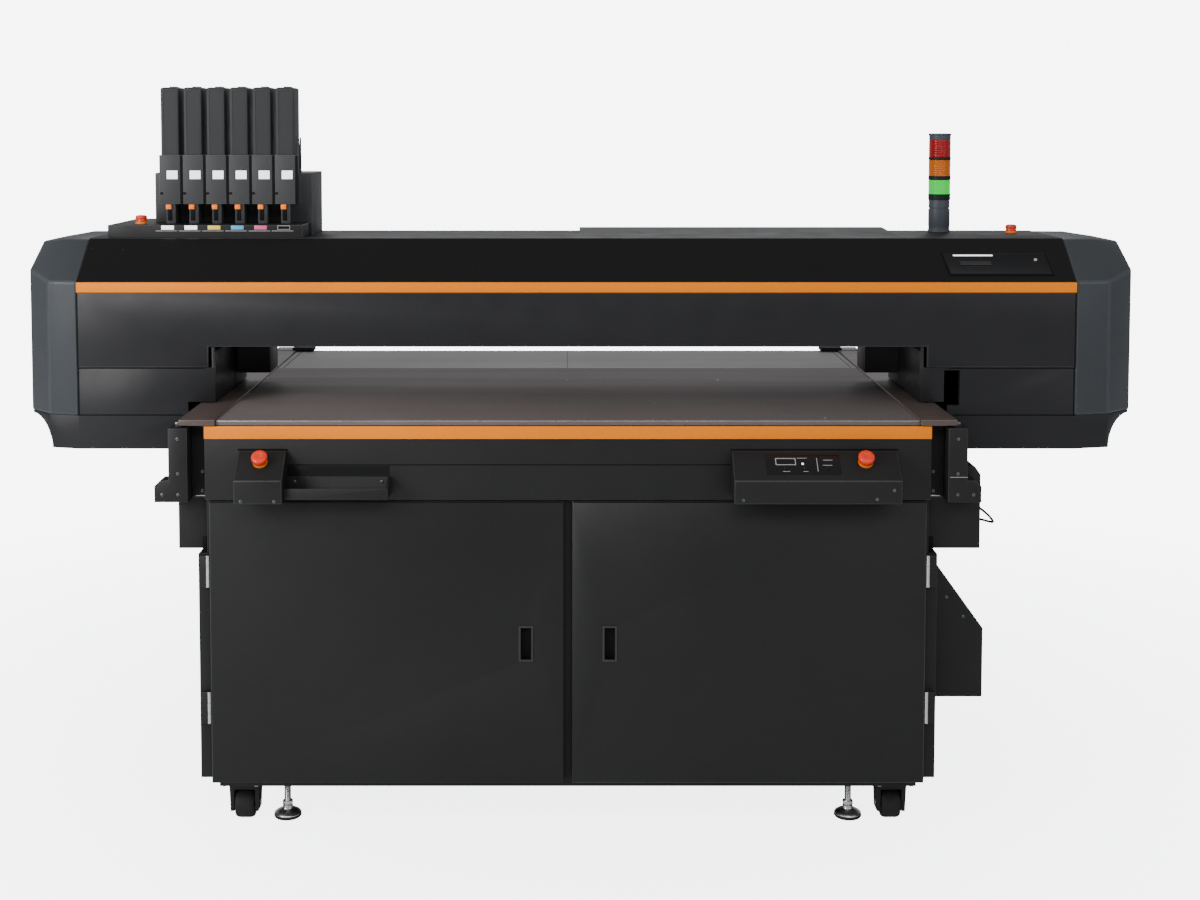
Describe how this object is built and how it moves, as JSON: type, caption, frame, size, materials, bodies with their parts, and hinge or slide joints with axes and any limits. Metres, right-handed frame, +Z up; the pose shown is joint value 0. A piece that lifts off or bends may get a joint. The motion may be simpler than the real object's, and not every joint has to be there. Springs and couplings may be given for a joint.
{
  "type": "flatbed uv printer",
  "caption": "Flatbed UV printer: fixed table on a doored cabinet with feet and casters, moving bridge with print carriage and head, ink bottles, signal tower and stop buttons.",
  "frame": {"origin": "middle of the footprint at floor level", "axes": "+Z up, the doors and consoles face -Y, +X is to the right of someone who faces the machine and along its longest side"},
  "size_m": [2.915, 1.498, 1.872],
  "materials": {
    "black_paint": "fine satin powder coat",
    "dark_cover": "satin moulded cover",
    "gloss_fascia": "glossy black",
    "slate_cap": "satin slate",
    "bed_coat": "satin hard coat",
    "deck_plate": "satin plate",
    "side_cover_coat": "satin coat",
    "orange_strip": "even orange",
    "bright_steel": "zinc plated",
    "black_rubber": "matt",
    "red_button": "smooth",
    "grey_top": "satin",
    "ink_bottle": "fine grain",
    "lens_red": "ribbed lens",
    "lens_amber": "ribbed lens",
    "lens_green": "ribbed lens, lit",
    "tower_grey": "satin",
    "cable_black": "matt"
  },
  "bodies": {
    "base": {"cabinet": "black_paint", "table_frame": "black_paint", "table_fascia": "black_paint", "table_strip": "orange_strip", "bed_plate": "bed_coat", "rear_deck": "deck_plate", "side_cover_left": "side_cover_coat", "side_cover_right": "side_cover_coat", "rail_left": "bright_steel", "rail_right": "bright_steel", "rail_end_left": "black_paint", "rail_end_right": "black_paint", "duct_left": "black_paint", "duct_right": "black_paint", "console_left": "black_paint", "console_right": "black_paint", "tool_shelf": "black_paint", "side_pocket": "black_paint", "loop_cable": "cable_black"},
    "bridge": {"bridge_girder": "black_paint", "bridge_strip": "orange_strip", "upper_fascia": "gloss_fascia", "top_cover": "grey_top", "end_cap_left": "slate_cap", "end_cap_right": "slate_cap", "leg_left": "dark_cover", "leg_right": "dark_cover", "ink_tray": "black_paint", "ink_rack": "black_paint", "tower_post": "tower_grey", "lens_green": "lens_green", "lens_amber": "lens_amber", "lens_red": "lens_red"},
    "carriage": {"print_carriage": "grey_top"},
    "head": {"print_head": "grey_top"},
    "cover": {"front_cover": "dark_cover"},
    "left_door": {"door_left": "black_paint"},
    "right_door": {"door_right": "black_paint"},
    "console_stop_left_head": {"console_stop_left": "red_button"},
    "console_stop_right_head": {"console_stop_right": "red_button"},
    "bridge_stop_left_head": {"bridge_stop_left": "red_button"},
    "bridge_stop_right_head": {"bridge_stop_right": "red_button"},
    "bottle_1": {"ink_bottle_1": "ink_bottle"},
    "bottle_2": {"ink_bottle_2": "ink_bottle"},
    "bottle_3": {"ink_bottle_3": "ink_bottle"},
    "bottle_4": {"ink_bottle_4": "ink_bottle"},
    "bottle_5": {"ink_bottle_5": "ink_bottle"},
    "bottle_6": {"ink_bottle_6": "ink_bottle"},
    "foot_body_front_left": {"foot_front_left": "bright_steel"},
    "foot_body_front_right": {"foot_front_right": "bright_steel"},
    "foot_body_rear_left": {"foot_rear_left": "bright_steel"},
    "foot_body_rear_right": {"foot_rear_right": "bright_steel"},
    "fork_front_left": {"caster_fork_front_left": "black_paint"},
    "wheel_front_left": {"caster_wheel_front_left": "black_rubber"},
    "fork_front_right": {"caster_fork_front_right": "black_paint"},
    "wheel_front_right": {"caster_wheel_front_right": "black_rubber"},
    "fork_rear_left": {"caster_fork_rear_left": "black_paint"},
    "wheel_rear_left": {"caster_wheel_rear_left": "black_rubber"},
    "fork_rear_right": {"caster_fork_rear_right": "black_paint"},
    "wheel_rear_right": {"caster_wheel_rear_right": "black_rubber"}
  },
  "joints": [
    {"name": "bridge_travel", "type": "slide", "parent": "base", "child": "bridge", "axis": [0, 1, 0], "range_m": [-0.2, 0.66]},
    {"name": "carriage_travel", "type": "slide", "parent": "bridge", "child": "carriage", "axis": [1, 0, 0], "range_m": [-2.22, 0.04]},
    {"name": "head_height", "type": "slide", "parent": "carriage", "child": "head", "axis": [0, 0, -1], "range_m": [0, 0.148]},
    {"name": "front_cover_hinge", "type": "hinge", "parent": "bridge", "child": "cover", "pos_m": [-0.0345, -0.4315, 1.3335], "axis": [-1, 0, 0], "range_deg": [0, 80]},
    {"name": "left_door_hinge", "type": "hinge", "parent": "base", "child": "left_door", "pos_m": [-0.926, -0.667, 0.484], "axis": [0, 0, -1], "range_deg": [0, 110]},
    {"name": "right_door_hinge", "type": "hinge", "parent": "base", "child": "right_door", "pos_m": [0.857, -0.667, 0.484], "axis": [0, 0, 1], "range_deg": [0, 110]},
    {"name": "console_stop_left_press", "type": "slide", "parent": "base", "child": "console_stop_left_head", "axis": [0, 0.6402, -0.7682], "range_m": [0, 0.005], "stiffness_N_per_m": 800, "springref_m": -0.002},
    {"name": "console_stop_right_press", "type": "slide", "parent": "base", "child": "console_stop_right_head", "axis": [0, 0.6402, -0.7682], "range_m": [0, 0.005], "stiffness_N_per_m": 800, "springref_m": -0.002},
    {"name": "bridge_stop_left_press", "type": "slide", "parent": "bridge", "child": "bridge_stop_left_head", "axis": [0, 0, -1], "range_m": [0, 0.005], "stiffness_N_per_m": 800, "springref_m": -0.002},
    {"name": "bridge_stop_right_press", "type": "slide", "parent": "bridge", "child": "bridge_stop_right_head", "axis": [0, 0, -1], "range_m": [0, 0.005], "stiffness_N_per_m": 800, "springref_m": -0.002},
    {"name": "bottle_1_lift", "type": "slide", "parent": "bridge", "child": "bottle_1", "axis": [0, 0, 1], "range_m": [0, 0.12]},
    {"name": "bottle_2_lift", "type": "slide", "parent": "bridge", "child": "bottle_2", "axis": [0, 0, 1], "range_m": [0, 0.12]},
    {"name": "bottle_3_lift", "type": "slide", "parent": "bridge", "child": "bottle_3", "axis": [0, 0, 1], "range_m": [0, 0.12]},
    {"name": "bottle_4_lift", "type": "slide", "parent": "bridge", "child": "bottle_4", "axis": [0, 0, 1], "range_m": [0, 0.12]},
    {"name": "bottle_5_lift", "type": "slide", "parent": "bridge", "child": "bottle_5", "axis": [0, 0, 1], "range_m": [0, 0.12]},
    {"name": "bottle_6_lift", "type": "slide", "parent": "bridge", "child": "bottle_6", "axis": [0, 0, 1], "range_m": [0, 0.12]},
    {"name": "foot_front_left_screw", "type": "slide", "parent": "base", "child": "foot_body_front_left", "axis": [0, 0, -1], "range_m": [0, 0.02]},
    {"name": "foot_front_right_screw", "type": "slide", "parent": "base", "child": "foot_body_front_right", "axis": [0, 0, -1], "range_m": [0, 0.02]},
    {"name": "foot_rear_left_screw", "type": "slide", "parent": "base", "child": "foot_body_rear_left", "axis": [0, 0, -1], "range_m": [0, 0.02]},
    {"name": "foot_rear_right_screw", "type": "slide", "parent": "base", "child": "foot_body_rear_right", "axis": [0, 0, -1], "range_m": [0, 0.02]},
    {"name": "caster_front_left_swivel", "type": "hinge", "parent": "base", "child": "fork_front_left", "pos_m": [-0.8565, -0.586, 0.1], "axis": [0, 0, 1], "continuous": true},
    {"name": "wheel_front_left_roll", "type": "hinge", "parent": "fork_front_left", "child": "wheel_front_left", "pos_m": [-0.8565, -0.564, 0.0395], "axis": [1, 0, 0], "continuous": true},
    {"name": "caster_front_right_swivel", "type": "hinge", "parent": "base", "child": "fork_front_right", "pos_m": [0.7875, -0.586, 0.1], "axis": [0, 0, 1], "continuous": true},
    {"name": "wheel_front_right_roll", "type": "hinge", "parent": "fork_front_right", "child": "wheel_front_right", "pos_m": [0.7875, -0.564, 0.0395], "axis": [1, 0, 0], "continuous": true},
    {"name": "caster_rear_left_swivel", "type": "hinge", "parent": "base", "child": "fork_rear_left", "pos_m": [-0.8565, 0.419, 0.1], "axis": [0, 0, 1], "continuous": true},
    {"name": "wheel_rear_left_roll", "type": "hinge", "parent": "fork_rear_left", "child": "wheel_rear_left", "pos_m": [-0.8565, 0.441, 0.0395], "axis": [1, 0, 0], "continuous": true},
    {"name": "caster_rear_right_swivel", "type": "hinge", "parent": "base", "child": "fork_rear_right", "pos_m": [0.7875, 0.419, 0.1], "axis": [0, 0, 1], "continuous": true},
    {"name": "wheel_rear_right_roll", "type": "hinge", "parent": "fork_rear_right", "child": "wheel_rear_right", "pos_m": [0.7875, 0.441, 0.0395], "axis": [1, 0, 0], "continuous": true}
  ]
}
